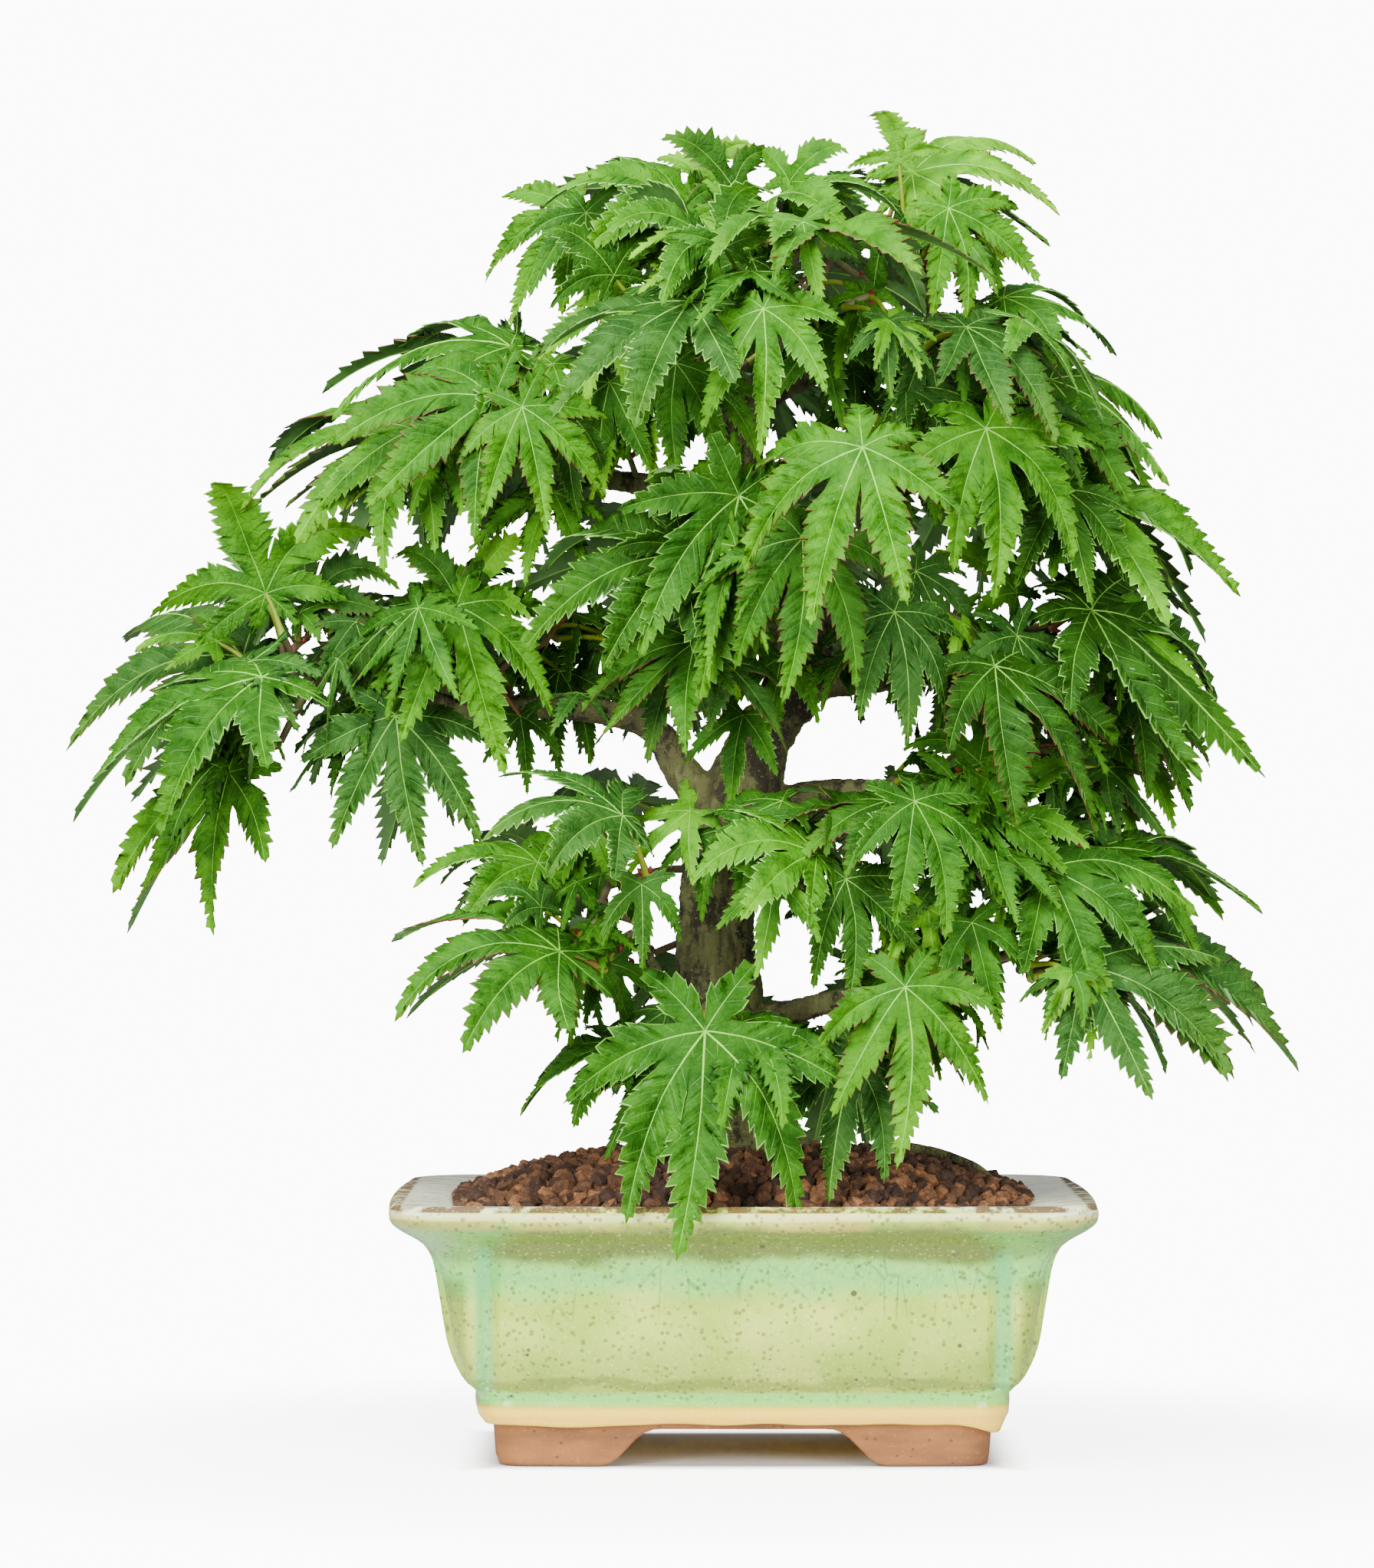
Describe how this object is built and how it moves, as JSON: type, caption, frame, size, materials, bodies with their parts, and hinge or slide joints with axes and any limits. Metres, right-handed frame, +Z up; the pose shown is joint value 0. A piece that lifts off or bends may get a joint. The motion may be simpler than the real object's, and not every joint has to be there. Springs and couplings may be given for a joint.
{
  "type": "japanese maple bonsai",
  "caption": "Small bonsai tree with a bent trunk, drooping palmate leaves in layered masses, and a glazed rectangular pot with arched feet.",
  "frame": {"origin": "middle of the whole plant's underside, at the level that the pot's feet stand on", "axes": "+Z up; -Y is the side the tree is shown from; +X is to the right seen from there"},
  "size_m": [0.267, 0.1578, 0.2834],
  "materials": {
    "glazed_stoneware": "celadon glaze, glossy and opaque, over a bare red-brown clay foot",
    "clay_granules": "dull baked clay grains",
    "bark": "rough grey-olive bark",
    "leaf": "soft satin green leaf"
  },
  "bodies": {
    "root": {"pot": "glazed_stoneware", "soil": "clay_granules", "trunk": "bark", "bough_left": "bark", "bough_left_fork": "bark", "bough_right_low": "bark", "bough_lower_left": "bark", "bough_lower_right": "bark", "bough_upper_left": "bark", "bough_upper_right": "bark", "bough_right_upper": "bark", "bough_right_middle": "bark", "bough_front": "bark", "bough_back_low": "bark", "bough_back_middle": "bark", "bough_back_top": "bark", "pruned_stub": "bark", "surface_root": "bark", "foliage_left_tip": "leaf", "foliage_left_inner": "leaf", "foliage_upper_left": "leaf", "foliage_top_left": "leaf", "foliage_top_front": "leaf", "foliage_top_right": "leaf", "foliage_right_upper": "leaf", "foliage_right_middle": "leaf", "foliage_right_low": "leaf", "foliage_front": "leaf", "foliage_heart": "leaf", "foliage_lower_left": "leaf", "foliage_low_front": "leaf", "foliage_waist": "leaf", "foliage_lower_right": "leaf", "foliage_back_low": "leaf", "foliage_back_middle": "leaf", "foliage_back_top": "leaf"}
  },
  "joints": []
}
